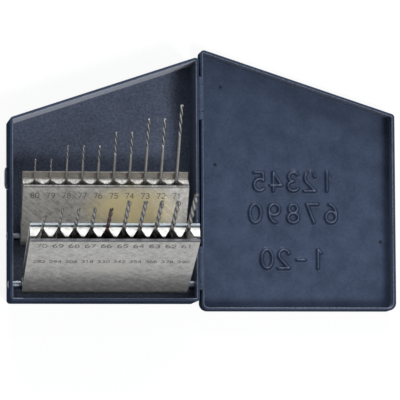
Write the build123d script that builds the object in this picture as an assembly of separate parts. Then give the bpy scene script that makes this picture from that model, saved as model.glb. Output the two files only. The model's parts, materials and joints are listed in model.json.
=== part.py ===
"""A pocket drill index: a folded steel case that opens like a book.

The case lies open on its back.  The deep base is on the left and holds two tilting
racks of ten drills each.  The shallow lid is on the right, hinged along the seam.
X runs across the case, Y from its straight bottom edge to its sloping top, Z up.
All sizes are millimetres.  The model is drawn with the hinge line at X = 0 and the
base's bottom edge at Y = 0, and is moved to the middle of its footprint at the end.
"""
from build123d import *
import os
from math import radians, sqrt, tan

# ---- sheet metal of the case -------------------------------------------------
case_sheet = 0.6            # thickness of the painted steel
base_width = 38.1           # outside, across the base
base_hinge_height = 49.4    # outside, along the hinge side
base_outer_height = 36.8    # outside, along the latch side
base_depth = 11.5           # outside, from the back to the rim
base_corner = 0.7           # outside radius of the four upright corners
back_bend = 0.45            # outside radius where the walls leave the back
lid_wall = 5.0              # outside, from the lid's face to its rim
lid_hinge_gap = 0.15        # between the base's and the lid's walls at the hinge
lid_latch_gap = 0.5         # at the latch side, where the lid's wall swings past the rim
lid_bottom_gap = 0.9        # at the straight bottom edge
lid_top_gap = 1.5           # at the sloping top edge
lid_bottom_corner = 1.6     # outside radius of the lid's two lower upright corners
lid_top_corner = 0.8        # and of its two upper ones
lid_rim_gap = 0.15          # between the base's rim and the closed lid

# ---- hinge ---------------------------------------------------------------------
knuckle_radius = 0.75
hinge_pin_radius = 0.35
hinge_pin_fit = 0.05        # running clearance round the pin
knuckle_wall_gap = 0.15     # between the knuckles and the base's wall
lid_knuckle_length = 5.4
base_knuckle_length = 1.5
knuckle_end_gap = 0.12      # between one knuckle and the next
lower_hinge_height = 7.0    # middle of the lower hinge above the bottom edge
upper_hinge_drop = 7.9      # middle of the upper hinge below the tall corner
leaf_length = 2.4           # of the base's hinge leaf, down the wall
wall_notch_gap = 0.2        # round the base's knuckles, in the lid's wall

# ---- thumb catch on the outer wall --------------------------------------------
catch_length = 4.7
catch_stand_out = 0.8
catch_thickness = 0.9
catch_middle = 25.0         # above the bottom edge
catch_under_lid = 0.4       # below the closed lid's rim

# ---- racks ----------------------------------------------------------------------
rack_sheet = 0.45
rack_left_gap = 2.0         # from the base's inner left wall
rack_right_gap = 1.5        # from the base's inner right wall
rack_thickness = 3.6        # outside, from the back plate to the number plate
rack_back_gap = 0.35        # from the base's back to the rear rack
rack_pair_gap = 0.25        # between the stowed racks
rear_rack_depth = 14.0      # of a drill that is hidden in the rear rack
front_rack_depth = 25.1     # of a drill that is hidden in the front rack
rear_pivot_height = 13.6    # above the bottom edge
front_pivot_height = 3.6
rear_rack_lip = 1.3         # of the back plate above the shelf
front_rack_lip = 0.5
tongue_gap = 0.45           # from the shelf's tongues to the number plate
tongue_width = 0.5          # between two notches, at the shelf's front edge
drill_set_back = 0.4        # of the drills behind the rack's middle
rear_tilt = 36.0            # degrees up from the base's back, lid open
front_tilt = 68.5
ear_height = 1.7            # of the end ears above the pivot
cut_past = 1.0              # how far a cutter runs out past what it cuts

# ---- rack pivots -------------------------------------------------------------------
pivot_radius = 0.5
pivot_fit = 0.05            # running clearance in the rack's ear
pivot_press = 0.02          # clearance where the pin is set in the wall
pivot_head_radius = 0.8
pivot_head = 0.3
pivot_side_gap = 0.1        # between the ear and the head or collar
collar_radius = 0.85

# ---- drills: number, diameter in thousandths, overall length in eighths of an inch ----
thousandth = 0.0254
eighth = 3.175
rack_end_margin = 2.4125    # from a rack's end to its first drill
drill_fit = 0.08            # round a drill in its notch
drill_seat_gap = 0.05       # between a drill's end and the rack's round bottom
point_angle = 118.0
FRONT_DRILLS = [
    (70, 28.0, 10),
    (69, 29.2, 11),
    (68, 31.0, 11),
    (67, 32.0, 11),
    (66, 33.0, 11),
    (65, 35.0, 12),
    (64, 36.0, 12),
    (63, 37.0, 12),
    (62, 38.0, 12),
    (61, 39.0, 13),
]
REAR_DRILLS = [
    (80, 13.5, 6),
    (79, 14.5, 6),
    (78, 16.0, 7),
    (77, 18.0, 7),
    (76, 20.0, 7),
    (75, 21.0, 8),
    (74, 22.5, 8),
    (73, 24.0, 9),
    (72, 25.0, 9),
    (71, 26.0, 10),
]

# ---- places worked out from the sizes --------------------------------------------
hinge_x = 0.0
pin_bore = hinge_pin_radius + hinge_pin_fit
wall_right = hinge_x - knuckle_radius - knuckle_wall_gap
wall_left = wall_right - base_width
top_slope = (base_hinge_height - base_outer_height) / base_width
closed_face = base_depth + lid_rim_gap + case_sheet
hinge_z = closed_face / 2
upper_hinge_height = base_hinge_height - upper_hinge_drop
rack_half = rack_thickness / 2
rack_inner = rack_half - rack_sheet
rack_left = wall_left + case_sheet + rack_left_gap
rack_length = base_width - 2 * case_sheet - rack_left_gap - rack_right_gap
drill_pitch = (rack_length - 2 * rack_end_margin) / 9
notch_mouth = (drill_pitch - tongue_width) / 2
rear_pivot_z = case_sheet + rack_back_gap + rack_half
front_pivot_z = rear_pivot_z + rack_thickness + rack_pair_gap
hinge_heights = {"lower": lower_hinge_height, "upper": upper_hinge_height}


def top_edge(x):
    """Height of the base's sloping top edge at x."""
    return base_hinge_height + (x - wall_right) * top_slope


def case_outline(left, right, bottom, rise, bottom_radius, top_radius):
    """The case's four-sided outline: square at the bottom, sloping at the top."""
    corners = [
        (left, bottom),
        (right, bottom),
        (right, top_edge(right) + rise),
        (left, top_edge(left) + rise),
    ]
    outline = make_face(Polyline(*corners, close=True))
    outline = fillet(outline.vertices().group_by(Axis.Y)[0], bottom_radius)
    middle_height = (bottom + top_edge(left) + rise) / 2
    upper = [corner for corner in outline.vertices() if corner.Y > middle_height]
    return fillet(upper, top_radius)


def tray(outline, inner, depth, sheet):
    """A tray of one sheet: an outline raised to its depth, hollowed above its floor."""
    solid = extrude(outline, depth)
    floor_edges = solid.faces().sort_by(Axis.Z)[0].edges()
    solid = fillet(floor_edges, back_bend)
    return solid - Pos(0, 0, sheet) * extrude(inner, depth)


def inner_outline(left, right, bottom, rise, bottom_radius, top_radius, sheet):
    """The outline of a tray's inside, one sheet in from each wall."""
    inner_rise = rise - sheet * sqrt(1 + top_slope**2)
    return case_outline(
        left + sheet,
        right - sheet,
        bottom + sheet,
        inner_rise,
        bottom_radius - sheet,
        top_radius - sheet,
    )


def bar_x(radius, start, end, y, z):
    """A round bar along X."""
    return Pos((start + end) / 2, y, z) * Rot(0, 90, 0) * Cylinder(radius, end - start)


def bar_y(radius, start, end, x, z):
    """A round bar along Y."""
    return Pos(x, (start + end) / 2, z) * Rot(90, 0, 0) * Cylinder(radius, end - start)


def block(x0, x1, y0, y1, z0, z1):
    """A box between two corners."""
    middle = Pos((x0 + x1) / 2, (y0 + y1) / 2, (z0 + z1) / 2)
    return middle * Box(x1 - x0, y1 - y0, z1 - z0)


def base_knuckle_spans(middle):
    """Where the base's two knuckles of one hinge start and end along Y."""
    inside = lid_knuckle_length / 2 + knuckle_end_gap
    outside = inside + base_knuckle_length
    return [(middle - outside, middle - inside), (middle + inside, middle + outside)]


# ---- base ---------------------------------------------------------------------------
def make_base():
    """The deep tray with its hinge leaves, pivot holes and thumb catch."""
    sides = (wall_left, wall_right, 0, 0, base_corner, base_corner)
    shell = tray(case_outline(*sides), inner_outline(*sides, case_sheet), base_depth, case_sheet)
    for middle in hinge_heights.values():
        for start, end in base_knuckle_spans(middle):
            knuckle = bar_y(knuckle_radius, start, end, hinge_x, hinge_z)
            leaf = block(
                wall_right - case_sheet / 2,
                hinge_x - pin_bore,
                start,
                end,
                hinge_z - leaf_length,
                hinge_z,
            )
            bore = bar_y(pin_bore, start - cut_past, end + cut_past, hinge_x, hinge_z)
            shell = shell + knuckle + leaf - bore
    for height, z in [(rear_pivot_height, rear_pivot_z), (front_pivot_height, front_pivot_z)]:
        hole = bar_x(pivot_radius + pivot_press, wall_left - cut_past, wall_right + cut_past, height, z)
        shell = shell - hole
    catch_top = closed_face - lid_wall - catch_under_lid
    catch = block(
        wall_left - catch_stand_out,
        wall_left + case_sheet / 2,
        catch_middle - catch_length / 2,
        catch_middle + catch_length / 2,
        catch_top - catch_thickness,
        catch_top,
    )
    corners = catch.edges().filter_by(Axis.Z).group_by(Axis.X)[0]
    catch = chamfer(corners, catch_stand_out / 2)
    return shell + catch


# ---- lid, drawn closed and then opened flat -------------------------------------------
def make_lid():
    """The shallow tray that closes over the base, with its two hinge knuckles."""
    sides = (
        wall_left - lid_latch_gap - case_sheet,
        wall_right + lid_hinge_gap + case_sheet,
        -lid_bottom_gap - case_sheet,
        lid_top_gap + case_sheet,
        lid_bottom_corner,
        lid_top_corner,
    )
    shell = tray(case_outline(*sides), inner_outline(*sides, case_sheet), lid_wall, case_sheet)
    closed = Pos(0, 0, closed_face) * mirror(shell, Plane.XY)
    wall_middle = wall_right + lid_hinge_gap + case_sheet / 2
    for middle in hinge_heights.values():
        half = lid_knuckle_length / 2
        start = middle - half
        end = middle + half
        for low, high in base_knuckle_spans(middle):
            closed = closed - block(
                wall_right,
                hinge_x + knuckle_radius + wall_notch_gap,
                low - knuckle_end_gap,
                high + knuckle_end_gap,
                hinge_z - knuckle_radius,
                hinge_z + knuckle_radius + wall_notch_gap,
            )
        knuckle = bar_y(knuckle_radius, start, end, hinge_x, hinge_z)
        leaf = block(
            wall_middle - case_sheet / 2,
            hinge_x - pin_bore,
            start,
            end,
            hinge_z,
            closed_face - lid_wall + case_sheet,
        )
        bore = bar_y(pin_bore, start - cut_past, end + cut_past, hinge_x, hinge_z)
        closed = closed + knuckle + leaf - bore
    opened = Rot(0, 180, 0) * (Pos(-hinge_x, 0, -hinge_z) * closed)
    return Pos(hinge_x, 0, hinge_z) * opened


def make_hinge_pin(middle):
    """One hinge's pin, through its three knuckles."""
    start = base_knuckle_spans(middle)[0][0]
    end = base_knuckle_spans(middle)[1][1]
    return bar_y(hinge_pin_radius, start, end, hinge_x, hinge_z)


# ---- racks, drawn about their pivot with the drills along Y ----------------------------
def drill_places():
    """Distances of the ten drills from a rack's left end."""
    return [rack_end_margin + place * drill_pitch for place in range(10)]


def drill_seat(diameter):
    """How far below the pivot line a drill's flat end stands in the round bottom."""
    reach = drill_set_back + diameter / 2
    return sqrt(rack_inner**2 - reach**2) - drill_seat_gap


def make_rack(drills, hidden_depth, lip):
    """A sheet folded to a deep U, with a notched shelf folded in from its back plate."""
    top = hidden_depth - drill_seat(drills[-1][1] * thousandth)
    back_top = top + lip
    outside = bar_x(rack_half, 0, rack_length, 0, 0)
    outside = outside + block(0, rack_length, 0, back_top, -rack_half, rack_half)
    low = -cut_past
    high = rack_length + cut_past
    above = back_top + cut_past
    channel = bar_x(rack_inner, low, high, 0, 0)
    channel = channel + block(low, high, 0, above, -rack_inner, rack_inner)
    plate_cut = block(low, high, top, above, 0, rack_half + cut_past)
    rack = outside - channel - plate_cut
    tongue_end = rack_inner - tongue_gap
    shelf = block(0, rack_length, top - rack_sheet, top, -rack_half, tongue_end)
    for place, drill in zip(drill_places(), drills):
        hole = drill[1] * thousandth / 2 + drill_fit
        mouth = [
            (place - hole, -drill_set_back),
            (place - notch_mouth, tongue_end),
            (place - notch_mouth, rack_half),
            (place + notch_mouth, rack_half),
            (place + notch_mouth, tongue_end),
            (place + hole, -drill_set_back),
        ]
        notch = make_face(Polyline(*mouth, close=True)) + Pos(place, -drill_set_back) * Circle(hole)
        cutter = extrude(notch, 4 * rack_sheet)
        shelf = shelf - Pos(0, top + 2 * rack_sheet, 0) * Rot(90, 0, 0) * cutter
    rack = rack + shelf
    for end in (0, rack_length - rack_sheet):
        ear = bar_x(rack_half, end, end + rack_sheet, 0, 0)
        ear = ear + block(end, end + rack_sheet, 0, ear_height, -rack_half, rack_half)
        rack = rack + ear
    return rack - bar_x(pivot_radius + pivot_fit, low, high, 0, 0)


def make_drill(drill, place):
    """A plain shank with a cone point, standing in the rack at its place."""
    radius = drill[1] * thousandth / 2
    length = drill[2] * eighth
    point = radius / tan(radians(point_angle / 2))
    seat = -drill_seat(drill[1] * thousandth)
    profile = make_face(
        Polyline((0, 0), (radius, 0), (radius, length - point), (0, length), close=True)
    )
    shank = revolve(profile, Axis.Y)
    return Pos(place, seat, -drill_set_back) * shank


def make_pivot(side, pivot_y, pivot_z):
    """A pin set in the case's wall, with a head inside the rack's ear."""
    if side == "left":
        wall = wall_left
        ear_out = rack_left
        ear_in = rack_left + rack_sheet
        turn = 1
    else:
        wall = wall_right
        ear_out = rack_left + rack_length
        ear_in = ear_out - rack_sheet
        turn = -1
    head_start = ear_in + turn * pivot_side_gap
    head_end = head_start + turn * pivot_head
    collar_start = wall + turn * case_sheet
    collar_end = ear_out - turn * pivot_side_gap
    parts = [
        (pivot_radius, wall, head_start),
        (pivot_head_radius, head_start, head_end),
        (collar_radius, collar_start, collar_end),
    ]
    pin = None
    for radius, one, other in parts:
        piece = bar_x(radius, min(one, other), max(one, other), pivot_y, pivot_z)
        pin = piece if pin is None else pin + piece
    return pin


def place_in_case(piece, tilt, pivot_y, pivot_z):
    """Tilts a rack or a drill up about its pivot and sets it in the base."""
    return Pos(rack_left, pivot_y, pivot_z) * Rot(tilt, 0, 0) * piece


# ---- the whole index --------------------------------------------------------------------
nodes = {"base_shell": make_base(), "lid_shell": make_lid()}
for name, middle in hinge_heights.items():
    nodes[f"{name}_hinge_pin"] = make_hinge_pin(middle)

rack_sheets = {
    "rear": make_rack(REAR_DRILLS, rear_rack_depth, rear_rack_lip),
    "front": make_rack(FRONT_DRILLS, front_rack_depth, front_rack_lip),
}
racks = {
    "rear": (REAR_DRILLS, rear_tilt, rear_pivot_height, rear_pivot_z),
    "front": (FRONT_DRILLS, front_tilt, front_pivot_height, front_pivot_z),
}
for name, (drills, tilt, pivot_y, pivot_z) in racks.items():
    nodes[f"{name}_rack"] = place_in_case(rack_sheets[name], tilt, pivot_y, pivot_z)
    for side in ("left", "right"):
        nodes[f"{name}_rack_pivot_{side}"] = make_pivot(side, pivot_y, pivot_z)
    for place, drill in zip(drill_places(), drills):
        piece = make_drill(drill, place)
        nodes[f"drill_{drill[0]}"] = place_in_case(piece, tilt, pivot_y, pivot_z)

# ---- the origin is the middle of the footprint, on the table ----------------------------
box = Compound(children=[Part() + piece for piece in nodes.values()]).bounding_box()
offset_x = -(box.min.X + box.max.X) / 2
offset_y = -(box.min.Y + box.max.Y) / 2
to_origin = Pos(offset_x, offset_y, -box.min.Z)

os.makedirs("parts", exist_ok=True)
for name, piece in nodes.items():
    export_step(to_origin * piece, f"parts/{name}.step")

print("whole box", box.size, "lowest", box.min.Z)
print("hinge line at", hinge_x + offset_x, hinge_z)
for name, (drills, tilt, pivot_y, pivot_z) in racks.items():
    print(name, "pivot at", pivot_y + offset_y, pivot_z, "tilt", tilt)
print("walls", wall_left + offset_x, wall_right + offset_x, "bottom edge", offset_y)
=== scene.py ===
# %% [markdown]
# # A pocket drill index in painted steel
# The case lies open like a book: a deep base on the left, a shallow lid on the right.
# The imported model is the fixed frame, and it holds everything that moves or fits.
# This lesson dresses it: the folded sheet shells, the twist drills, the pressed and
# stamped numbers, and a finish for every metal.

# %% Load the frame and keep its box
import json
import bmesh
import bpy
import numpy as np
from mathutils import Matrix, Vector


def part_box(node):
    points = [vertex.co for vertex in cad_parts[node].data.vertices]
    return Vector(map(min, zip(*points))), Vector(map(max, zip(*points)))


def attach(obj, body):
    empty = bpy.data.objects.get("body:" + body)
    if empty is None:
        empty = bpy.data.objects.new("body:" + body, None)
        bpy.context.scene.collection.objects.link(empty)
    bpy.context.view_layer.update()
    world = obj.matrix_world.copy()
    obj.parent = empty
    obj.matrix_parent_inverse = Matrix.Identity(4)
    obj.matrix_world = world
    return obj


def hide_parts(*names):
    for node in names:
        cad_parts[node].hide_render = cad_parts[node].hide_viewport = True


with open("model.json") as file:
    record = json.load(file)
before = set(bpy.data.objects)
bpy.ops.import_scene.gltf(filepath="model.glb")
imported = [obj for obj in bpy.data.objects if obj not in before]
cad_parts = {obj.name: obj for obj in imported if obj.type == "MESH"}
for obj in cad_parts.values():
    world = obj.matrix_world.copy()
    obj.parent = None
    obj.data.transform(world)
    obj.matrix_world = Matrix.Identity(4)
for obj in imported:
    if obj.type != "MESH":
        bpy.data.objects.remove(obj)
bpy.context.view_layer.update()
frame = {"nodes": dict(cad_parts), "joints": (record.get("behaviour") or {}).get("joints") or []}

MM = 0.001

# %% [markdown]
# ## Sizes
# Each place comes from the frame. A box round a node gives its lowest and highest
# corner, so the walls, the rims and the hinge line are read from there. Only what the
# solids can't say, such as the sheet's thickness and its bend, is written here.

# %% Places read from the frame, in millimetres
joints = {joint["name"]: joint for joint in frame["joints"]}


def corners(node):
    """The lowest and highest corner of a node, in millimetres."""
    low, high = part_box(node)
    return np.array(low) / MM, np.array(high) / MM


base_low, _ = corners("base_shell")
lid_low, lid_high = corners("lid_shell")
hinge_x, _, hinge_z = np.array(joints["lid_hinge"]["pos_m"]) / MM
sheet = 0.6                 # painted steel of the case
tall_side = 49.4            # height of the base along the hinge
base_wall = 11.5            # depth of the base
lid_wall = 5.0
lid_top_gap = 1.5           # between the sloping tops of base and closed lid
base_corner = 0.7
lid_corners = (1.6, 1.6, 0.8, 0.8)
outer_bend = 0.75           # radius outside the bend between a wall and the floor
rim_round = 0.2             # the sheet's edge, rounded by the paint
knuckle_radius = 0.75
pin_hole = 0.4
wall_gap = 0.15             # from the knuckles to the base's wall
catch_reach = 0.8
base_right = hinge_x - knuckle_radius - wall_gap
base_left = base_low[0] + catch_reach
top_slope = 12.6 / 38.1     # rise of the sloping top edge for each step along it
print("base wall to wall", base_left, base_right, "hinge at", hinge_x, hinge_z)

# %% [markdown]
# ## The camera
# The photograph is taken from nearly straight above with a long lens, a little from the
# left and a little from below. The lens and the place were worked out from the corners
# of the case and of the racks, so the camera is written as a target, a distance and
# two small angles, with a slight roll.

# %% Camera
target = Vector((0.45, -3.68, 0.0)) * MM
distance = 788.0 * MM
lean_x = 0.1228             # tangent-like slopes of the view, in radians
lean_y = 0.0819
roll = -0.0054
focal_pixels = 3866.0
image_width = 400
sensor = 36.0

forward = Vector((np.tan(lean_x), np.tan(lean_y), -1.0)).normalized()
right = forward.cross(Vector((0, 1, 0))).normalized()
up = right.cross(forward)
rolled_right = right * np.cos(roll) + up * np.sin(roll)
rolled_up = up * np.cos(roll) - right * np.sin(roll)
camera_data = bpy.data.cameras.new("camera")
camera_data.sensor_width = sensor
camera_data.lens = focal_pixels * sensor / image_width
camera_data.clip_start = 0.05
camera_data.clip_end = 5.0
camera = bpy.data.objects.new("camera", camera_data)
turned = Matrix((rolled_right, rolled_up, -forward)).transposed()
camera.matrix_world = Matrix.Translation(target - forward * distance) @ turned.to_4x4()
bpy.context.scene.collection.objects.link(camera)
bpy.context.scene.camera = camera
print("lens", round(camera_data.lens, 1), "mm")

# %% [markdown]
# ## Colours and nodes
# Colours are written as the hex values that a paint chip would carry. A shader works in
# linear light, so one function turns them. Another adds a node with its settings and
# its links, and every material below is made with it.

# %% Helpers for materials
def linear(code):
    """Linear RGBA of an sRGB hex colour: the sRGB curve undone for each channel."""
    values = np.array([int(code[i:i + 2], 16) for i in (1, 3, 5)]) / 255
    light = np.where(values <= 0.04045, values / 12.92, ((values + 0.055) / 1.055) ** 2.4)
    return (*light, 1.0)


def add(tree, kind, settings=None, **inputs):
    """Adds a node, sets its properties, and sets or links its inputs.

    An input is named with _ for each space, or is _0, _1 and so on for its place.
    """
    node = tree.nodes.new(kind)
    for name, value in (settings or {}).items():
        setattr(node, name, value)
    for name, value in inputs.items():
        key = int(name[1:]) if name[0] == "_" else name.replace("_", " ")
        socket = node.inputs[key]
        if isinstance(value, bpy.types.NodeSocket):
            tree.links.new(value, socket)
        else:
            socket.default_value = value
    return node


def new_material(name):
    """An empty node material, its tree, and the piece's own coordinates."""
    material = bpy.data.materials.new(name)
    material.use_nodes = True
    tree = material.node_tree
    tree.nodes.clear()
    place = add(tree, "ShaderNodeTexCoord").outputs["Object"]
    return material, tree, place


def ramp(tree, value, stops):
    """A colour ramp through (position, hex colour) stops."""
    node = add(tree, "ShaderNodeValToRGB", Fac=value)
    elements = node.color_ramp.elements
    while len(elements) < len(stops):
        elements.new(0.5)
    for element, (position, code) in zip(elements, stops):
        element.position = position
        element.color = linear(code)
    return node.outputs["Color"]


def band(tree, value, low, high, to_low, to_high):
    """Stretches a value from one range to another, and holds it at the ends."""
    node = add(tree, "ShaderNodeMapRange", Value=value, From_Min=low, From_Max=high)
    node.inputs["To Min"].default_value = to_low
    node.inputs["To Max"].default_value = to_high
    return node.outputs["Result"]


print("mid grey #808080 in linear light:", round(linear("#808080")[0], 3))

# %% [markdown]
# ### Patterns and blends
# Every finish below is made of the same few steps: noise at a size in millimetres, a
# ball of influence round a place, a blend of two colours, and a bump with a depth in
# millimetres. Each step is a function, so that a finish reads as a short recipe.

# %% Patterns, blends and the last nodes
def per_mm(size):
    """The texture scale whose features are about this many millimetres wide."""
    return 1.0 / (size * MM)


def noise(tree, place, size, detail, roughness=0.5):
    """Noise whose features are about this many millimetres wide."""
    settings = {"Scale": per_mm(size), "Detail": detail, "Roughness": roughness}
    return add(tree, "ShaderNodeTexNoise", Vector=place, **settings).outputs["Fac"]


def maths(tree, operation, *values):
    """A math node over its values, each of them a socket or a number."""
    inputs = {f"_{place}": value for place, value in enumerate(values)}
    return add(tree, "ShaderNodeMath", {"operation": operation}, **inputs).outputs[0]


def blend(tree, share, under, over):
    """Mixes two colours, sockets or linear values: share 0 gives the first, 1 the second."""
    inputs = {"Factor": share, "_6": under, "_7": over}
    return add(tree, "ShaderNodeMix", {"data_type": "RGBA"}, **inputs).outputs[2]


def ball(tree, place, middle, size):
    """One at a place given in millimetres, falling evenly to zero at this size round it."""
    spot = add(tree, "ShaderNodeMapping", {"vector_type": "TEXTURE"}, Vector=place)
    spot.inputs["Location"].default_value = [value * MM for value in middle]
    spot.inputs["Scale"].default_value = [value * MM for value in size]
    settings = {"gradient_type": "SPHERICAL"}
    return add(tree, "ShaderNodeTexGradient", settings, Vector=spot.outputs[0]).outputs["Fac"]


def finish_surface(tree, colour, height, strength, depth, **inputs):
    """The last nodes of a finish: bump of a depth in mm, the shader and the output."""
    bump = add(tree, "ShaderNodeBump", Strength=strength, Distance=depth * MM, Height=height)
    inputs.update(Base_Color=colour, Normal=bump.outputs[0])
    shader = add(tree, "ShaderNodeBsdfPrincipled", **inputs)
    add(tree, "ShaderNodeOutputMaterial", Surface=shader.outputs[0])


print("noise of 2 mm has the texture scale", per_mm(2.0))

# %% [markdown]
# ### Baked enamel on the case
# The case is stamped steel with a slate blue baked enamel. Baked enamel levels to a
# satin skin with a faint orange peel, and its colour drifts a little where the coat is
# thinner. Along the rims the paint is scuffed to a paler grey, with a painted highlight on
# the rim's inner edge, and the outside is darker with painted shade. An attribute marks
# both, above and below zero, and above zero it also holds painted light on the inside.
# Three small dark spots sit in the lid's floor.

# %% Enamel
peel = 0.55                 # orange peel, drawn coarser than real so that it shows
peel_depth = 0.03
drift = 4.0                 # size of the slow change of tone
speckle = 0.5
spot_size = 0.55
dark_spots = [(4.7, 19.4), (3.5, 3.5), (37.5, -12.2)]    # small marks in the lid's floor
# painted shade: the darker tone of the outside, the rim's outer edge and the numbers' flanks
painted_shade_colour = linear("#161D29")
spot_dark = linear("#0E131C")


def chip_marks(tree, place):
    """One in the middle of each dark spot in the lid's floor, falling to zero at its edge."""
    balls = [ball(tree, place, (x, y, sheet), (spot_size,) * 3) for x, y in dark_spots]
    found = balls[0]
    for other in balls[1:]:
        found = maths(tree, "MAXIMUM", found, other)
    return found


def baked_enamel(name, body, deep, worn_and_lit):
    """Satin enamel: two close blues, fine speckle, peel, and from the attribute scuffed paint with
    painted light above zero and painted shade below.
    """
    material, tree, place = new_material(name)
    cloud = noise(tree, place, drift, 4.0, 0.6)
    grain = noise(tree, place, speckle, 3.0, 0.7)
    mixed = maths(tree, "MULTIPLY_ADD", grain, 0.5, cloud)
    tone = ramp(tree, band(tree, mixed, 0.55, 1.0, 0.0, 1.0), [(0.0, deep), (1.0, body)])
    wear_and_painted_light = add(tree, "ShaderNodeAttribute", {"attribute_name": "wear_and_painted_light"}).outputs["Fac"]
    shade_share = band(tree, wear_and_painted_light, -1.0, 0.0, 0.75, 0.0)
    shaded_tone = blend(tree, shade_share, tone, painted_shade_colour)
    paler_share = maths(tree, "MULTIPLY", wear_and_painted_light, band(tree, grain, 0.35, 0.65, 0.35, 1.0))
    painted = blend(tree, paler_share, shaded_tone, linear(worn_and_lit))
    spotted = band(tree, chip_marks(tree, place), 0.15, 0.5, 0.0, 0.85)
    colour = blend(tree, spotted, painted, spot_dark)
    finish_surface(
        tree, colour, noise(tree, place, peel, 2.0), 0.22, peel_depth,
        Roughness=band(tree, grain, 0.3, 0.7, 0.36, 0.48),
        Specular_IOR_Level=band(tree, wear_and_painted_light, -0.8, -0.3, 0.0, 0.12),
        IOR=1.5,
    )
    return material


case_paint = baked_enamel("slate_baked_enamel", "#374257", "#293346", "#BABECA")
print("enamel ready")

# %% [markdown]
# ### Zinc plate on the racks
# The racks are bent from zinc plated sheet. Plating gives a grey metal that is neither
# mirror nor matt, and years of drills dragged across it leave fine slanting scratches.
# Noise drawn out along one direction gives those: wide scale across, narrow along, in
# coordinates turned to lie in the tilted plate. The lip is a darker tone, and the fold
# beside the drills carries painted shade; those two zones are found in the same turned
# coordinates. A soft patch at one place on each plate is a painted reflection.

# %% Zinc plate
scratch_width = 0.22        # real scratches are finer, and would vanish at this size
scratch_length = 4.5
scratch_depth = 2.0         # how fast the pattern changes through the sheet
scratch_slant = 0.75        # radians from the plate's long edge
plate_relief = 0.03
plate_top = {"front_rack": 24.0, "rear_rack": 12.9}    # from the pivot up to the shelf
# painted shade in the fold before the notches: its share for each rack, and its colour below
fold_shade = {"front_rack": 0.9, "rear_rack": 0.5}
crease_shade = linear("#23262E")


def pivot_of(rack):
    """A rack's pivot, in millimetres."""
    return np.array(joints[f"{rack}_tilt"]["pos_m"]) / MM


def rack_axes(tilt):
    """The directions of a rack at a tilt: up along its plate, and out of the plate."""
    along = np.array([0.0, np.cos(tilt), np.sin(tilt)])
    return along, np.array([0.0, -np.sin(tilt), np.cos(tilt)])


def tilt_of(rack):
    """How far a rack leans up, in radians: at its joint's low limit it lies flat."""
    return np.radians(-joints[f"{rack}_tilt"]["range_deg"][0])


def scratches(tree, flat):
    """Noise drawn out along one slanting direction of the plate."""
    slant = add(tree, "ShaderNodeMapping", Vector=flat)
    slant.inputs["Rotation"].default_value = (0.0, 0.0, scratch_slant)
    drawn = add(tree, "ShaderNodeMapping", Vector=slant.outputs[0])
    sizes = (scratch_length, scratch_width, scratch_depth)
    drawn.inputs["Scale"].default_value = [per_mm(size) for size in sizes]
    settings = {"Scale": 1.0, "Detail": 3.0, "Roughness": 0.7}
    return add(tree, "ShaderNodeTexNoise", Vector=drawn.outputs[0], **settings).outputs["Fac"]


def oil_zones(tree, flat, rack):
    """The shares of two dark zones: the lip behind the shelf, and the fold before it, whose
    darkness is painted shade.

    Both are found in coordinates turned with the plate: Y up along it, Z out of it.
    """
    up, away = rack_axes(tilt_of(rack))
    top = (pivot_of(rack) @ up + plate_top[rack]) * MM
    middle = pivot_of(rack) @ away * MM
    split = add(tree, "ShaderNodeSeparateXYZ", Vector=flat)
    along, out = split.outputs["Y"], split.outputs["Z"]
    above = band(tree, along, top - 0.1 * MM, top + 0.15 * MM, 0.0, 1.0)
    behind = band(tree, out, middle - 1.0 * MM, middle - 1.3 * MM, 0.0, 0.8)
    near_top = band(tree, along, top - 0.45 * MM, top - 0.3 * MM, 0.0, 1.0)
    fold_shade_share = fold_shade[rack]
    in_front = band(tree, out, middle + 0.55 * MM, middle + 0.95 * MM, 0.0, fold_shade_share)
    lip = maths(tree, "MULTIPLY", above, behind)
    return lip, maths(tree, "MULTIPLY", near_top, in_front)


def zinc_plate(rack, light, dark, reflection_tint, reflection_place, reflection_size, lip_tone):
    """Zinc plated sheet with slanting scratches, a soft bloom and a painted reflection at one
    place.

    Two narrow zones are darker: the lip behind the shelf, and the fold in front of
    the notches, where the drills slide in and out, which carries painted shade.
    """
    material, tree, place = new_material(rack.replace("rack", "zinc_plate"))
    turned_place = add(tree, "ShaderNodeMapping", {"vector_type": "POINT"}, Vector=place)
    turned_place.inputs["Rotation"].default_value = (-tilt_of(rack), 0.0, 0.0)
    flat = turned_place.outputs[0]
    lines = scratches(tree, flat)
    bloom = noise(tree, place, 1.1, 5.0, 0.75)
    relief = maths(tree, "MULTIPLY_ADD", lines, 0.8, bloom)
    tone = ramp(tree, band(tree, relief, 0.62, 1.2, 0.0, 1.0), [(0.0, dark), (1.0, light)])
    uneven = band(tree, noise(tree, place, 9.0, 2.0), 0.3, 0.6, 0.9, 1.9)
    patch = maths(tree, "MULTIPLY", ball(tree, place, reflection_place, reflection_size), uneven)
    reflected = blend(tree, band(tree, patch, 0.0, 1.0, 0.0, 0.85), tone, linear(reflection_tint))
    lip, fold = oil_zones(tree, flat, rack)
    lip_darkened = blend(tree, lip, reflected, linear(lip_tone))
    finish_surface(
        tree, blend(tree, fold, lip_darkened, crease_shade), relief, 0.35, plate_relief,
        Roughness=band(tree, lines, 0.35, 0.65, 0.3, 0.46),
        Metallic=0.55,
    )
    return material


front_tilt = tilt_of("front_rack")
rear_tilt = tilt_of("rear_rack")
# its patch is a neutral painted reflection
front_zinc = zinc_plate(
    "front_rack", light="#BDBCB9", dark="#787775", reflection_tint="#ACAAA4",
    reflection_place=(-20.0, -16.0, 18.0), reflection_size=(9.0, 6.0, 6.0), lip_tone="#56616A",
)
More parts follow.
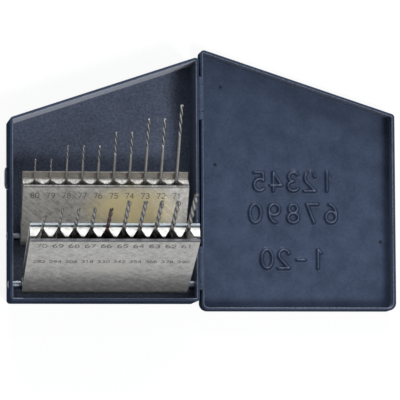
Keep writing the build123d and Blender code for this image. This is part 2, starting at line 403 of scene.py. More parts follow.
# its warm patch is a painted reflection
rear_zinc = zinc_plate(
    "rear_rack", light="#D2D0CC", dark="#7F7E7C", reflection_tint="#E6D7A6",
    reflection_place=(-14.4, -6.4, 8.6), reflection_size=(11.0, 6.0, 6.0), lip_tone="#625C54",
)
print("rack tilts", round(np.degrees(front_tilt), 1), round(np.degrees(rear_tilt), 1))

# %% [markdown]
# ### Ground steel, wire and pins
# Drills are ground high speed steel: a bright shank with rings left by the wheel, and
# darker flutes. Painted shade darkens the front drills' points. One or two have the brown oxide of
# a heat treated drill.
# Hinge wire is drawn, so its marks run along it, and the pins are turned.

# %% Steels
mark_depth = 0.01
# the dark tone at the bottom of the flutes, and of the painted shade on the front drills' points
groove_dark = linear("#2C2B2D")


def ground_steel(name, light, dark, mark, roughness, metallic=0.95):
    """Steel with fine marks; the attribute groove darkens the bottom of a flute, and carries the
    painted shade on the front drills' points.
    """
    material, tree, place = new_material(name)
    marks = noise(tree, place, mark, 3.0, 0.7)
    tone = ramp(tree, band(tree, marks, 0.35, 0.65, 0.0, 1.0), [(0.0, dark), (1.0, light)])
    groove = add(tree, "ShaderNodeAttribute", {"attribute_name": "groove"}).outputs["Fac"]
    colour = blend(tree, band(tree, groove, 0.2, 0.9, 0.0, 0.85), tone, groove_dark)
    finish_surface(
        tree, colour, marks, 0.3, mark_depth,
        Roughness=band(tree, marks, 0.3, 0.7, roughness, roughness + 0.12),
        Metallic=metallic,
    )
    return material


drill_steel = ground_steel("ground_high_speed_steel", "#A9A8A6", "#737271", 0.12, 0.28)
brown_steel = ground_steel("brown_oxide_steel", "#6E5650", "#3F3230", 0.12, 0.34)
hinge_wire = ground_steel("drawn_hinge_wire", "#8D9097", "#5C5F66", 0.2, 0.34)
pivot_steel = ground_steel("turned_pivot_steel", "#6F747E", "#454A54", 0.15, 0.3)
# the figures' dark grey is painted shade of the stamped strokes
front_figure_shade = ground_steel("front_figure_shadow", "#62615F", "#454443", 0.2, 0.6, 0.3)
rear_figure_shade = ground_steel("rear_figure_shadow", "#6F6D67", "#55534E", 0.2, 0.55, 0.5)
print("steels ready")

# %% [markdown]
# ## Making meshes from arrays
# Every new surface below is a grid of points worked out as a whole array. One function
# turns such grids into a mesh, closes them into rings where asked, and stores the
# attributes that the materials read.

# %% Mesh helpers
def grid_faces(rows, columns, ring=False):
    """Quads of a grid stored row by row; with ring, the last column joins the first."""
    across = columns if ring else columns - 1
    row, column = np.meshgrid(np.arange(rows - 1), np.arange(across), indexing="ij")
    after = (column + 1) % columns
    quads = [row * columns + column, row * columns + after]
    quads += [(row + 1) * columns + after, (row + 1) * columns + column]
    return np.stack(quads, -1).reshape(-1, 4)


def make_piece(name, points, faces, body, material, marks=None, smooth=40.0):
    """A mesh piece in the frame: points in mm, quads and triangles, and its marks."""
    mesh = bpy.data.meshes.new(name)
    mesh.from_pydata((points * MM).tolist(), [], [list(map(int, face)) for face in faces])
    for mark, values in (marks or {}).items():
        layer = mesh.attributes.new(mark, "FLOAT", "POINT")
        layer.data.foreach_set("value", np.asarray(values, np.float32))
    mesh.validate()
    mesh.update()
    mesh.shade_smooth()
    mesh.set_sharp_from_angle(angle=np.radians(smooth))
    mesh.materials.append(material)
    piece = bpy.data.objects.new(name, mesh)
    bpy.context.scene.collection.objects.link(piece)
    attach(piece, body)
    return piece


def join_parts(parts):
    """Stacks (points, faces) pairs into one array of points and one list of faces."""
    points = np.concatenate([part[0] for part in parts])
    starts = np.cumsum([0] + [len(part[0]) for part in parts[:-1]])
    faces = []
    for part, start in zip(parts, starts):
        faces += [[int(place) + start for place in face] for face in part[1]]
    return points, faces


print("a grid of 3 by 3 points has", len(grid_faces(3, 3)), "quads")

# %% [markdown]
# ## The folded trays
# Base and lid are the same shape of tray: a four sided outline, square at the bottom
# and sloping at the top, with round corners. Its outline is made at any distance inside
# the outer wall, always with the same number of points, so a profile can be carried
# along it: up the inside of the wall, over the rounded rim and down the outside. The
# floor between is a grid whose four sides are the outline itself.

# %% The outline at any offset
corner_steps = 4            # points on each half of a corner's arc
least_radius = 0.06


def tray_outline(tray, offset, spread_x, spread_y):
    """A tray's outline moved inward, as the four sides of a closed ring of points.

    Each side runs from the middle of one corner's arc to the middle of the next: half
    an arc, the straight run at the given shares, and half the next arc.
    """
    left, right, bottom, top_left, top_right, radii = tray
    slope = (top_right - top_left) / (right - left)
    down = offset * np.hypot(1, slope)      # how far the sloping side comes straight down
    inner_left, inner_right = left + offset, right - offset
    points = np.array([
        (inner_left, bottom + offset),
        (inner_right, bottom + offset),
        (inner_right, top_right - offset * slope - down),
        (inner_left, top_left + offset * slope - down),
    ])
    arcs = []
    for place in range(4):
        here, before, after = points[place], points[place - 1], points[(place + 1) % 4]
        to_before = (before - here) / np.linalg.norm(before - here)
        to_after = (after - here) / np.linalg.norm(after - here)
        half_angle = np.arccos(np.clip(to_before @ to_after, -1, 1)) / 2
        radius = max(radii[place] - offset, least_radius)
        inward = (to_before + to_after) / np.linalg.norm(to_before + to_after)
        middle = here + inward * radius / np.sin(half_angle)
        start = here + to_before * radius / np.tan(half_angle) - middle
        end = here + to_after * radius / np.tan(half_angle) - middle
        turn = np.arctan2(start[0] * end[1] - start[1] * end[0], start @ end)
        angles = np.linspace(0, turn, 2 * corner_steps + 1)[:, None]
        side = np.array([-start[1], start[0]])
        arcs.append(middle + start * np.cos(angles) + side * np.sin(angles))
    sides = []
    for place, shares in enumerate((spread_x, spread_y, 1 - spread_x[::-1], 1 - spread_y[::-1])):
        one, two = arcs[place][corner_steps:], arcs[(place + 1) % 4][:corner_steps + 1]
        run = one[-1] + (two[0] - one[-1]) * shares[1:-1, None]
        sides.append(np.concatenate([one, run, two]))
    return sides


def floor_grid(sides):
    """A Coons patch: points between four sides, each corner counted once.

    Along each way the two facing sides are blended by the share of the way across, and
    the twist of the four corners is taken off again.
    """
    bottom, right, top, left = sides[0], sides[1], sides[2][::-1], sides[3][::-1]
    u = np.zeros(len(bottom))
    u[1:] = np.cumsum(np.linalg.norm(np.diff(bottom, axis=0), axis=1))
    v = np.zeros(len(left))
    v[1:] = np.cumsum(np.linalg.norm(np.diff(left, axis=0), axis=1))
    u, v = (u / u[-1])[None, :, None], (v / v[-1])[:, None, None]
    upright = (1 - v) * bottom[None] + v * top[None]
    sideways = (1 - u) * left[:, None] + u * right[:, None]
    twist = (1 - u) * (1 - v) * bottom[0] + u * (1 - v) * bottom[-1]
    twist = twist + (1 - u) * v * top[0] + u * v * top[-1]
    return upright + sideways - twist


print("each corner of an outline is an arc of", 2 * corner_steps + 1, "points")

# %% [markdown]
# ### The profile of a wall
# From the floor the sheet turns up on a small bend, runs up to the rim, and comes back
# down outside on a bend that is one sheet larger. Each point of the profile is a
# distance inside the outer wall and a height. The rim gets a small round on both edges.

# %% Wall profile and the whole tray
rim_wear_and_highlight = [0.15, 0.5, 0.3, -0.4]       # over the rim's inner edge: scuffed paint with a painted highlight, then painted shade at the top
rim_outer_shade = [-0.5, -0.5, -0.6, -0.8]    # over its outer edge: painted shade
# painted shade over the outside of the walls and the outer floor
outside_shade = -0.8
inside_rings = 9                        # rings of the profile up to the rim
press_depth = 0.65                      # how far the lid's numbers stand up
crown_highlight = 0.05                       # painted highlight on top of them
flank_shade = 0.6                        # painted shade on their flanks


def wall_profile(height):
    """The sheet's section as (offset, height) points, and the paint mark at each.

    It runs from the inner floor, up the wall, over the rim and down to the outer floor.
    Above zero the mark is a narrow paler line on the rim's inner edge, partly scuffed paint
    and partly a painted highlight. Below zero it is painted shade, which darkens the outside.
    """
    inner_bend = outer_bend - sheet
    turn = np.linspace(0, np.pi / 2, 5)
    over = np.linspace(0, np.pi / 2, 4)
    shoulder = height - rim_round
    climb = np.append(np.linspace(sheet + inner_bend, shoulder, 5)[1:-1], shoulder - 0.3)
    climb.sort()
    inside = inner_bend * np.stack([1 - np.sin(turn), 1 - np.cos(turn)], 1) + sheet
    rise = rim_round * np.stack([np.cos(over) - 1, np.sin(over) - 1], 1) + (sheet, height)
    fall = rim_round * np.stack([1 - np.sin(over), np.cos(over) - 1], 1) + (0, height)
    outside = outer_bend * np.stack([1 - np.cos(turn), 1 - np.sin(turn)], 1)
    runs = [
        (inside, [0.0] * 5),
        (np.stack([np.full(4, sheet), climb], 1), [0.0] * 4),
        (rise, rim_wear_and_highlight),
        (fall, rim_outer_shade),
        (np.stack([np.zeros(4), climb[::-1]], 1), [outside_shade] * 4),
        (outside, [outside_shade] * 5),
    ]
    return np.concatenate([run[0] for run in runs]), np.concatenate([run[1] for run in runs])


def tray_piece(tray, height, spread_x, spread_y, press, top_light=0.0, thin=0.0):
    """The closed sheet of a tray: wall rings joined to an inner and an outer floor grid.

    press gives how far the floor is pushed up at each (x, y), on both of its sides.
    The first number after press is a painted highlight on the inside of the sloping top wall, and
    the last is painted light over the whole inside.
    """
    profile, wear_and_painted_light = wall_profile(height)
    rings = [tray_outline(tray, offset, spread_x, spread_y) for offset, _ in profile]
    loops = [np.concatenate([side[:-1] for side in ring]) for ring in rings]
    wall = np.concatenate([
        np.column_stack([loop, np.full(len(loop), level)])
        for loop, (_, level) in zip(loops, profile)
    ])
    count = len(loops[0])
    wall_faces = grid_faces(len(loops), count, ring=True)
    grids = []
    for ring, level, flip in ((rings[0], sheet, False), (rings[-1], 0.0, True)):
        flat = floor_grid(ring)
        rows, columns = flat.shape[:2]
        plane = flat.reshape(-1, 2)
        points = np.column_stack([plane, np.maximum(level + press(plane), 0.0)])
        faces = grid_faces(rows, columns)
        grids.append((points, faces[:, ::-1] if flip else faces))
    points, faces = join_parts([(wall, wall_faces[:, ::-1]), *grids])
    outer_floor = len(grids[1][0])
    crown = np.clip(press(floor_grid(rings[0]).reshape(-1, 2)) / press_depth, 0, 1)
    marks = np.full(len(points), thin)
    marks[:len(wall)] = np.repeat(wear_and_painted_light, count)
    marks[:inside_rings * count] += thin
    marks[-outer_floor:] = outside_shade
    flank = 4 * crown * (1 - crown)
    marks[len(wall):-outer_floor] += crown_highlight * crown ** 2 - flank_shade * flank
    sides = [len(side) - 1 for side in rings[0]]
    top_start = sum(sides[:2]) + corner_steps
    top_end = sum(sides[:3]) - corner_steps + 1
    on_top = np.zeros((len(loops), count), bool)
    on_top[4:inside_rings + 1, top_start:top_end] = True
    lit_top = np.flatnonzero(on_top)
    marks[lit_top] = np.maximum(marks[lit_top], top_light)
    return points, faces, marks


def weld(piece, reach=0.004):
    """Joins the points where the floor meets the walls, and turns every face outward."""
    work = bmesh.new()
    work.from_mesh(piece.data)
    bmesh.ops.remove_doubles(work, verts=work.verts, dist=reach * MM)
    bmesh.ops.recalc_face_normals(work, faces=work.faces)
    open_edges = sum(1 for edge in work.edges if len(edge.link_faces) != 2)
    work.to_mesh(piece.data)
    work.free()
    piece.data.set_sharp_from_angle(angle=np.radians(50))
    print(piece.name, "faces", len(piece.data.polygons), "open edges", open_edges)


def painted_piece(name, points, faces, body, wear_and_painted_light, reach=0.004):
    """An enamelled piece of the case, with its marks of scuffed paint and painted light, its
    meeting points joined.
    """
    piece = make_piece(name, points, faces, body, case_paint, {"wear_and_painted_light": wear_and_painted_light})
    weld(piece, reach)
    return piece


print("a wall's section has", len(wall_profile(lid_wall)[0]), "points")

# %% [markdown]
# ## Numbers by strokes
# The lid carries plain numbers pressed through the sheet, and the racks carry small
# stamped ones. Both use the same digits, made of straight and curved strokes in a box
# one unit high. Being a list of short segments, they can give a distance to the nearest
# stroke, for pressing, or be drawn out as narrow bars, for stamping.

# %% Digits as strokes
digit_width = 0.6


def line(x0, y0, x1, y1):
    """A straight stroke as two points."""
    return np.array([(x0, y0), (x1, y1)], float)


def bow(x, y, rx, ry, start, end, steps=9):
    """Part of an ellipse from one angle to another, in degrees anticlockwise."""
    angles = np.radians(np.linspace(start, end, steps))
    return np.column_stack([x + rx * np.cos(angles), y + ry * np.sin(angles)])


DIGITS = {
    "0": [bow(0.3, 0.5, 0.3, 0.5, 0, 360, 21)],
    "1": [line(0.3, 0, 0.3, 1), line(0.12, 0.82, 0.3, 1)],
    "2": [bow(0.3, 0.7, 0.28, 0.3, 165, -35), line(0.53, 0.53, 0.02, 0), line(0.02, 0, 0.6, 0)],
    "3": [bow(0.28, 0.76, 0.26, 0.24, 150, -90), bow(0.28, 0.26, 0.3, 0.26, 90, -150)],
    "4": [line(0.45, 0, 0.45, 1), line(0.45, 1, 0, 0.3), line(0, 0.3, 0.6, 0.3)],
    "5": [line(0.55, 1, 0.1, 1), line(0.1, 1, 0.06, 0.55), bow(0.27, 0.32, 0.3, 0.32, 130, -140)],
    "6": [bow(0.3, 0.3, 0.28, 0.3, 0, 360, 17), bow(0.42, 0.42, 0.4, 0.58, 95, 190)],
    "7": [line(0, 1, 0.58, 1), line(0.58, 1, 0.2, 0)],
    "8": [bow(0.3, 0.75, 0.23, 0.24, 0, 360, 15), bow(0.3, 0.26, 0.29, 0.26, 0, 360, 17)],
    "9": [bow(0.3, 0.7, 0.28, 0.3, 0, 360, 17), bow(0.18, 0.58, 0.4, 0.58, -85, 10)],
    "-": [line(0.08, 0.45, 0.5, 0.45)],
}


def number_segments(text, height, advance):
    """Every straight segment of a line of digits, as (count, 2, 2), centred on the origin."""
    pieces = []
    for place, sign in enumerate(text):
        start = (place - (len(text) - 1) / 2) * advance - digit_width * height / 2
        for stroke in DIGITS.get(sign, []):
            points = stroke * height + (start, -height / 2)
            pieces.append(np.stack([points[:-1], points[1:]], 1))
    return np.concatenate(pieces)


def stroke_distance(points, segments):
    """Distance from each point to the nearest segment.

    It is measured to the foot of the perpendicular, held between the segment's ends.
    """
    start, along = segments[:, 0], segments[:, 1] - segments[:, 0]
    offset = points[:, None] - start[None]
    share = np.clip((offset * along).sum(-1) / (along ** 2).sum(-1), 0, 1)
    return np.linalg.norm(offset - share[..., None] * along, axis=-1).min(1)


print("12345 is drawn with", len(number_segments("12345", 1.0, 0.8)), "segments")

# %% [markdown]
# ## The lid
# The lid is seen from inside, so numbers pressed in from outside stand up from its floor
# and read backwards. The press rounds them: the height is a cosine of the distance from
# the stroke. Their crowns carry a little painted highlight, and their flanks painted shade.

# %% Lid
lid_left = hinge_x + wall_gap
lid_right = lid_high[0]
base_top_at_right = base_low[1] + tall_side
lid_top_at_left = base_top_at_right + lid_top_gap + sheet + knuckle_radius * top_slope
lid_top_at_right = lid_top_at_left - (lid_right - lid_left) * top_slope
lid_tray = (lid_left, lid_right, lid_low[1], lid_top_at_left, lid_top_at_right, lid_corners)
row_height = 3.8
stroke_half = 0.58          # half the width of a pressed ridge
row_reach = (11.0, 3.5)     # no stroke lies further than this from its row's middle
lid_wall_light = 0.2         # painted light on the inside of the low walls
lid_rows = [                # text, step from sign to sign, and the row's middle
    ("12345", 3.5, 19.5, 0.1),
    ("67890", 3.9, 19.5, -6.4),
    ("1-20", 3.5, 19.3, -15.7),
]


def press_lid(plane):
    """How far the lid's floor is pushed up: cosine ridges along the strokes."""
    push = np.zeros(len(plane))
    for text, advance, x, y in lid_rows:
        local = (plane - (x, y)) * (-1, 1)
        near = (np.abs(local) < row_reach).all(1)
        gap = stroke_distance(local[near], number_segments(text, row_height, advance))
        share = np.clip(gap / stroke_half, 0, 1)
        push[near] += press_depth * (0.5 + 0.5 * np.cos(np.pi * share))
    return push


def shares_with_zone(length, zone_start, zone_end, fine, coarse):
    """Shares along a side: fine steps in the numbers' zone and coarse ones outside."""
    before = np.linspace(0, zone_start, max(2, int(zone_start / coarse)) + 1)
    inside = np.linspace(zone_start, zone_end, int((zone_end - zone_start) / fine) + 1)
    after = np.linspace(zone_end, length, max(2, int((length - zone_end) / coarse)) + 1)
    return np.concatenate([before[:-1], inside, after[1:]]) / length


lid_across = shares_with_zone(38.0, 8.2, 30.2, 0.16, 0.8)
lid_along = shares_with_zone(50.0, 7.0, 30.5, 0.17, 0.8)
points, faces, wear_and_painted_light = tray_piece(lid_tray, lid_wall, lid_across, lid_along, press_lid)
heights = points[:, 2]
on_wall = (heights > outer_bend) & (heights < lid_wall - rim_round)
wear_and_painted_light = wear_and_painted_light + lid_wall_light * (on_wall & (wear_and_painted_light > -0.1))     # inside only
lid = painted_piece("lid_pressed_shell", points, faces, "lid", wear_and_painted_light)
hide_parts("lid_shell")

# %% [markdown]
# ## The base
# The base is the same tray, deeper and with a plain floor. Its scuffed paint runs along the
# rim, where the lid closes over it. Painted light makes the inside of the top wall and the whole
# inside paler.

# %% Base
base_inside_light = 0.11            # painted light that lifts the inside of the deep tray, which its walls shade
top_wall_light = 1.6               # painted highlight on the inside of the top wall
base_top_at_left = base_top_at_right - (base_right - base_left) * top_slope
base_tops = (base_top_at_left, base_top_at_right)
base_tray = (base_left, base_right, base_low[1], *base_tops, (base_corner,) * 4)


def press_base(plane):
    """The base's floor is plain: nothing is pressed into it."""
    return np.zeros(len(plane))


even = np.linspace(0, 1, 41)
base_parts = tray_piece(base_tray, base_wall, even, even, press_base, top_wall_light, base_inside_light)
points, faces, wear_and_painted_light = base_parts
base = painted_piece("base_folded_shell", points, faces, "base", wear_and_painted_light)
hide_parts("base_shell")

# %% [markdown]
# ## Hinge knuckles
# Each knuckle is a tongue of the wall's own sheet, curled round the pin until it nearly
# meets itself. The curl is an arc with a thickness, carried straight along the pin, and
# it runs on into a short leaf that lies against the wall.

# %% Knuckles
hinge_boxes = {name: corners(f"{name}_hinge_pin") for name in ("lower", "upper")}
lid_knuckle = 5.4
base_knuckle = 1.5
knuckle_gap = 0.12
leaf = 2.3
knuckle_wear = 0.05
fine_reach = 0.0005         # for small pieces, whose points lie close together


def curl(start, end, toward, reach):
    """A rolled knuckle from start to end along Y, with its leaf down the wall.

    The profile is an arc of 305 degrees at the outer and the inner radius. It starts on
    the leaf's side, which toward gives: -1 for the base and 1 for the lid. The leaf
    reaches a little further out than the knuckle where it has to meet the wall.
    """
    angles = np.radians(np.linspace(180, -125, 31))
    arc = np.column_stack([-toward * np.cos(angles), np.sin(angles)])
    fall = np.array([-leaf, -0.5])
    leaf_out = np.column_stack([np.full(2, toward * (knuckle_radius + reach)), fall])
    leaf_in = np.column_stack([np.full(2, toward * pin_hole), fall])
    outer = np.concatenate([leaf_out, arc * knuckle_radius])
    inner = np.concatenate([leaf_in, arc * pin_hole])
    ring = np.concatenate([outer, inner[::-1]])
    steps = np.linspace(start, end, 5)
    squeeze = np.array([0.97, 1.0, 1.0, 1.0, 0.97])
    points = np.concatenate([
        np.column_stack([ring[:, 0] * s + hinge_x, np.full(len(ring), y), ring[:, 1] * s + hinge_z])
        for y, s in zip(steps, squeeze)
    ])
    faces = list(grid_faces(len(steps), len(ring), ring=True))
    half = len(outer)
    caps = []
    for level in (0, len(steps) - 1):
        first = level * len(ring)
        for place in range(half - 1):
            far = first + 2 * half - 1 - place
            caps.append([first + place, first + place + 1, far - 1, far])
    return points, faces + caps


def knuckle_set(name, body, toward, reach, spans):
    """All the knuckles of one side, as one piece."""
    points, faces = join_parts([curl(start, end, toward, reach) for start, end in spans])
    painted_piece(name, points, faces, body, np.full(len(points), knuckle_wear), fine_reach)


base_spans = []
lid_spans = []
for low, high in hinge_boxes.values():
    middle = (low[1] + high[1]) / 2
    lid_spans.append((middle - lid_knuckle / 2, middle + lid_knuckle / 2))
    reach = lid_knuckle / 2 + knuckle_gap
    base_spans.append((middle - reach - base_knuckle, middle - reach))
    base_spans.append((middle + reach, middle + reach + base_knuckle))
knuckle_set("base_knuckles", "base", -1, wall_gap + 0.1, base_spans)
knuckle_set("lid_knuckles", "lid", 1, 0.0, lid_spans)

# %% [markdown]
# ## Thumb catch
# A small tab pressed out of the outer wall: a nail under it springs the lid open. It is
# a rounded lip whose section swells and fades along its length.

# %% Catch
catch_middle = base_low[1] + 25.0
catch_half = 2.35
catch_top = 6.85
catch_thick = 0.9
catch_root = 0.1            # how deep its foot sits in the wall
catch_wear = 0.35           # at its outer edge, fading to none at the wall


def catch_piece():
    """A half-round lip: its reach fades at both ends, as the root of 1 - x to the sixth."""
    along = np.linspace(-1, 1, 33)
    reach = catch_reach * (1 - np.abs(along) ** 6) ** 0.5
    angles = np.linspace(0, 2 * np.pi, 25)[:-1]
    outward = (0.5 + 0.5 * np.cos(angles)) ** 0.6
    x = base_left + catch_root - (catch_root + reach[:, None]) * outward
    swell = np.sign(np.sin(angles)) * np.abs(np.sin(angles)) ** 0.7
    z = catch_top - catch_thick / 2 + catch_thick / 2 * swell
    y = catch_middle + along[:, None] * catch_half + 0 * x
    points = np.stack([x, y, z[None] + 0 * x], -1).reshape(-1, 3)
    faces = list(grid_faces(len(along), len(angles), ring=True))
    faces.append(list(range(len(angles)))[::-1])
    faces.append([len(points) - len(angles) + place for place in range(len(angles))])
    wear_and_painted_light = catch_wear * (0.5 + 0.5 * np.tile(np.cos(angles), len(along)))
    return points, faces, wear_and_painted_light


points, faces, wear_and_painted_light = catch_piece()
painted_piece("thumb_catch", points, faces, "base", wear_and_painted_light, fine_reach)

# %% [markdown]
# ## Twist drills
# A drill is a bar with two helical flutes over its upper part, a plain shank below and a
# cone point. The surface is one grid: round the bar, and along it. At each place the
# radius is cut back where the angle, turned by the helix, falls in a flute. The cut
# fades out into the shank as the grinding wheel lifts.

# %% Drills
helix_angle = np.radians(27)
flute_depth = 0.46
point_half_angle = np.radians(59)
around = 36                 # points round a drill
rings_per_turn = 26
tip_rings = 5
tip_shade = 0.8               # painted shade on the front drills' points
brown_drill = 66            # the one with a brown oxide finish


def drill_grid(radius, length, flute_length):
    """Points of a drill standing along +Z, its flat end at the origin, and its groove marks.

    radius(angle, z) = R * (1 - depth * cut(angle - 2 pi z / pitch) * fade(z)), where cut
    is a raised cosine, twice round the bar, sharpened so that the lands stay wide.
    """
    pitch = 2 * np.pi * radius / np.tan(helix_angle)
    point = radius / np.tan(point_half_angle)
    foot = [0.0, radius * 0.12]
    shank = np.linspace(0, length - flute_length, 6)[1:]
    rings = max(12, int(flute_length / pitch * rings_per_turn))
    fluted = np.linspace(length - flute_length, length - point, rings)[1:]
    tip = length - point + point * np.array([0.35, 0.7, 0.93])
    z = np.concatenate([foot, shank, fluted, tip])
    angles = np.linspace(0, 2 * np.pi, around + 1)[:-1]
    lift = np.clip((z - (length - flute_length)) / (0.16 * flute_length), 0, 1)
    phase = angles[None] - 2 * np.pi * z[:, None] / pitch
    cut = (0.5 + 0.5 * np.cos(2 * phase)) ** 1.4 * (lift * lift * (3 - 2 * lift))[:, None]
    size = np.clip((length - z) / point, 0, 1)
    size[0] = 0.86                      # a small chamfer at the foot
    r = radius * (1 - flute_depth * cut) * size[:, None]
    points = np.stack([r * np.cos(angles), r * np.sin(angles), z[:, None] + 0 * r], -1)
    return points.reshape(-1, 3), cut.ravel(), len(z)


def drill_piece(number, tilt, flute_length, material):
    """One drill, stood in its node's place: its end and axis come from the node's box."""
    low, high = corners(f"drill_{number}")
    radius = (high[0] - low[0]) / 2
    direction, across = rack_axes(tilt)
    foot_y = low[1] + radius * np.sin(tilt)
    foot_z = low[2] + radius * np.cos(tilt)
    steep = np.sin(tilt) > np.cos(tilt)     # then the box's height tells the length best
    rise, run = (high[2] - foot_z) / np.sin(tilt), (high[1] - foot_y) / np.cos(tilt)
    length = rise if steep else run
    points, groove, rings = drill_grid(radius, length, flute_length)
    foot = np.array([(low[0] + high[0]) / 2, foot_y, foot_z])
    axes = np.array([(1, 0, 0), across, direction])
    placed = foot + points @ axes
    faces = list(grid_faces(rings, around, ring=True))
    end = len(placed)
    placed = np.concatenate([placed, [foot, foot + direction * length]])
    last = end - around
    faces += [[(place + 1) % around, place, end] for place in range(around)]
    faces += [[last + place, last + (place + 1) % around, end + 1] for place in range(around)]
    groove = np.concatenate([groove, [0, 0]])
    # painted shade darkens the points of the front drills
    if tilt == front_tilt:
        groove[-2 - tip_rings * around:-2] = tip_shade
        groove[-1] = tip_shade
    piece = make_piece(
        f"twist_drill_{number}", placed, faces,
        f"drill_{number}", material, {"groove": groove}, 60.0,
    )
    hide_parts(f"drill_{number}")
    return length


front_drills = range(61, 71)
rear_drills = range(71, 81)
rear_flutes = [7.5, 7.0, 7.0, 5.5, 5.5, 4.2, 4.2, 3.8, 2.8, 2.8]
made = {}
for number in front_drills:
    flutes = 17.0 - (number - front_drills[0]) * 0.45
    finish = brown_steel if number == brown_drill else drill_steel
    made[number] = drill_piece(number, front_tilt, flutes, finish)
for number, flutes in zip(rear_drills, rear_flutes):
    made[number] = drill_piece(number, rear_tilt, flutes, drill_steel)
print("drill lengths in mm:", {number: round(made[number], 2) for number in (61, 71, 80)})

# %% [markdown]
# ## Racks, pins and wire
# These solids already have their true shape, so they stay, and only take their finish.
# The racks are sheet metal parts seen mostly face on, and the pins are plain turned work.

# %% Finishes for the solids that stay
def dress(node, material):
    """Gives a node of the frame its finish."""
    mesh = frame["nodes"][node].data
    mesh.materials.clear()
    mesh.materials.append(material)


dress("front_rack", front_zinc)
dress("rear_rack", rear_zinc)
for hinge in ("lower", "upper"):
    dress(f"{hinge}_hinge_pin", hinge_wire)
for rack in ("front", "rear"):
    for side in ("left", "right"):
        dress(f"{rack}_rack_pivot_{side}", pivot_steel)
print("solids dressed")

# %% [markdown]
# ## Riveted ends of the pivots
# Outside the walls each pivot is peened over to a small low dome. A dome is a profile
# turned about the pin: a flattened cosine.

# %% Rivet domes
dome_radius = 0.75
left_dome = 0.22
right_dome = 0.12           # lower, since the hinge's knuckles pass close by


def dome(middle, outward):
    """A round head on a wall: its height falls from the middle as the cosine to a power of 0.6."""
    rings = np.linspace(0.02, 1, 9)
    angles = np.linspace(0, 2 * np.pi, 25)[:-1]
    y = middle[1] + dome_radius * rings[:, None] * np.cos(angles)
    z = middle[2] + dome_radius * rings[:, None] * np.sin(angles)
    x = middle[0] + outward * np.cos(rings * np.pi / 2)[:, None] ** 0.6 + 0 * y
    points = np.stack([x, y, z], -1).reshape(-1, 3)
    count = len(angles)
    faces = list(grid_faces(len(rings), count, ring=True))
    faces += [range(count), range(len(points) - count, len(points))]
    return points, faces


domes = []
for rack in ("front_rack", "rear_rack"):
    _, pivot_y, pivot_z = pivot_of(rack)
    domes.append(dome((base_left, pivot_y, pivot_z), -left_dome))
    domes.append(dome((base_right, pivot_y, pivot_z), right_dome))
points, faces = join_parts(domes)
rivets = make_piece("pivot_rivet_heads", points, faces, "base", pivot_steel)
weld(rivets, fine_reach)

# %% [markdown]
# ## Stamped figures on the racks
# Each rack has a row of sizes under its shelf, one under each drill, with a second row
# of smaller figures on the front plate. The strokes are drawn as narrow bars a few
# hundredths of a millimetre proud, in a dark grey that is the painted shade of stamped marks.

# %% Stamped figures
stroke_width = 0.15         # of a figure 1.3 mm high
mark_rise = 0.02
rack_half = 1.8             # half the rack's thickness


def bars(segments, width, origin, tilt):
    """Each segment as a thin flat box on a rack's tilted plate, all at once as arrays."""
    start, end = segments[:, 0], segments[:, 1]
    along = end - start
    length = np.linalg.norm(along, axis=1, keepdims=True)
    along = along / np.maximum(length, 1e-9)
    side = np.column_stack([-along[:, 1], along[:, 0]]) * width / 2
    reach = along * width * 0.3
    start, end = start - reach, end + reach
    flat = np.stack([start - side, end - side, end + side, start + side], 1)
    up, out = rack_axes(tilt)
    low = origin + flat[..., :1] * (1, 0, 0) + flat[..., 1:] * up - out * mark_rise
    points = np.concatenate([low, low + out * mark_rise * 2], 1).reshape(-1, 3)
    around_box = [(0, 1, 5, 4), (1, 2, 6, 5), (2, 3, 7, 6), (3, 0, 4, 7)]
    box = np.array([(0, 3, 2, 1), (4, 5, 6, 7), *around_box])
    faces = (box[None] + 8 * np.arange(len(flat))[:, None, None]).reshape(-1, 4)
    return points, faces


def stamped_row(rack, tilt, numbers, height, level):
    """Numbers under the drills of one rack: (text, drill) pairs at a level above the pivot."""
    up, out = rack_axes(tilt)
    _, pivot_y, pivot_z = pivot_of(rack)
    width = stroke_width * height / 1.3
    parts = []
    for text, drill in numbers:
        low, high = corners(f"drill_{drill}")
        middle = np.array([(low[0] + high[0]) / 2, pivot_y, pivot_z])
        origin = middle + out * (rack_half + 0.001) + up * level
        parts.append(bars(number_segments(text, height, height * 0.8), width, origin, tilt))
    return join_parts(parts)


front_top, rear_top = plate_top["front_rack"], plate_top["rear_rack"]
front_sizes = [(str(drill), drill) for drill in front_drills]
front_counts = [(str(390 - 12 * place), drill) for place, drill in enumerate(front_drills)]
rear_sizes = [(str(drill), drill) for drill in rear_drills]
front_parts = [
    stamped_row("front_rack", front_tilt, front_sizes, 1.45, front_top - 2.3),
    stamped_row("front_rack", front_tilt, front_counts, 1.08, front_top - 9.4),
]
rear_parts = [stamped_row("rear_rack", rear_tilt, rear_sizes, 1.2, rear_top - 2.2)]
stamped = (("front_rack", front_parts, front_figure_shade), ("rear_rack", rear_parts, rear_figure_shade))
for rack, parts, figure_shade in stamped:
    points, faces = join_parts(parts)
    make_piece(f"{rack}_figures", points, faces, rack, figure_shade)
    print(rack, "figures", len(faces) // 6, "strokes")

# %% [markdown]
# ## Light and floor
# The photograph is lit by soft light from all round, with white paper under and behind
# the case. A pale floor, a white surround for the camera and for reflections, and three
# broad lamps at a plain level give that.

# %% Floor, lamps and surround
paper_lift = 0.88           # share of plain white in the paper where it is looked at
floor_half = 1.6
floor_level = -0.0001       # just under the case, so that no faces coincide


def looked_at(tree):
    """One for rays from the camera and for mirrored or refracted ones, else zero."""
    path = add(tree, "ShaderNodeLightPath")
    rays = [path.outputs[f"Is {kind} Ray"] for kind in ("Camera", "Glossy", "Transmission")]
    return maths(tree, "MAXIMUM", maths(tree, "MAXIMUM", rays[0], rays[1]), rays[2])


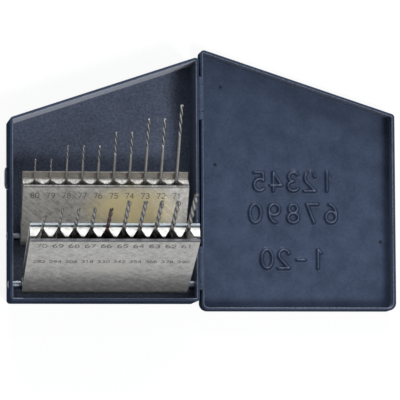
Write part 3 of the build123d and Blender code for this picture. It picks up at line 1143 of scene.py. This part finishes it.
def floor_material():
    """White paper: matt, and lifted to white where it is looked at, while it keeps the shadow."""
    material, tree, place = new_material("white_paper")
    fibre = noise(tree, place, 0.6, 3.0)
    tone = ramp(tree, fibre, [(0.3, "#F6F6F6"), (0.7, "#FFFFFF")])
    paper = add(tree, "ShaderNodeBsdfDiffuse", Color=tone)
    glow = add(tree, "ShaderNodeEmission", Color=(1, 1, 1, 1), Strength=1.0)
    lifted = maths(tree, "MULTIPLY", looked_at(tree), paper_lift)
    mixed = add(tree, "ShaderNodeMixShader", Fac=lifted, _1=paper.outputs[0], _2=glow.outputs[0])
    add(tree, "ShaderNodeOutputMaterial", Surface=mixed.outputs[0])
    return material


floor_mesh = bpy.data.meshes.new("floor")
ways = [(-1, -1), (1, -1), (1, 1), (-1, 1)]
floor_corners = [(x * floor_half, y * floor_half, floor_level) for x, y in ways]
floor_mesh.from_pydata(floor_corners, [], [(0, 1, 2, 3)])
floor_mesh.materials.append(floor_material())
floor = bpy.data.objects.new("floor", floor_mesh)
bpy.context.scene.collection.objects.link(floor)

world = bpy.data.worlds.new("surround")
bpy.context.scene.world = world
world.use_nodes = True
sky = world.node_tree
sky.nodes.clear()
soft = add(sky, "ShaderNodeBackground", Color=linear("#DDE2EA"), Strength=0.42)
white = add(sky, "ShaderNodeBackground", Color=(1, 1, 1, 1), Strength=1.0)
seen = looked_at(sky)
choice = add(sky, "ShaderNodeMixShader", Fac=seen, _1=soft.outputs[0], _2=white.outputs[0])
add(sky, "ShaderNodeOutputWorld", Surface=choice.outputs[0])


def lamp(name, place, aim, size, power):
    """A square area lamp at a place, turned towards a point."""
    data = bpy.data.lights.new(name, "AREA")
    data.size = size
    data.energy = power
    lamp_object = bpy.data.objects.new(name, data)
    lamp_object.location = place
    lamp_object.rotation_euler = (Vector(aim) - Vector(place)).to_track_quat("-Z", "Y").to_euler()
    bpy.context.scene.collection.objects.link(lamp_object)


lamp("high_front_lamp", (0.35, -0.45, 1.0), (0, 0, 0), 0.3, 10.0)
lamp("back_lamp", (0.15, 0.85, 0.8), (0, 0, 0.01), 0.4, 4.0)
lamp("low_back_lamp", (-0.1, 1.0, 0.2), (0, 0, 0.01), 0.3, 12.0)
bpy.context.scene.view_settings.view_transform = "Standard"
print("floor, surround and three lamps ready")
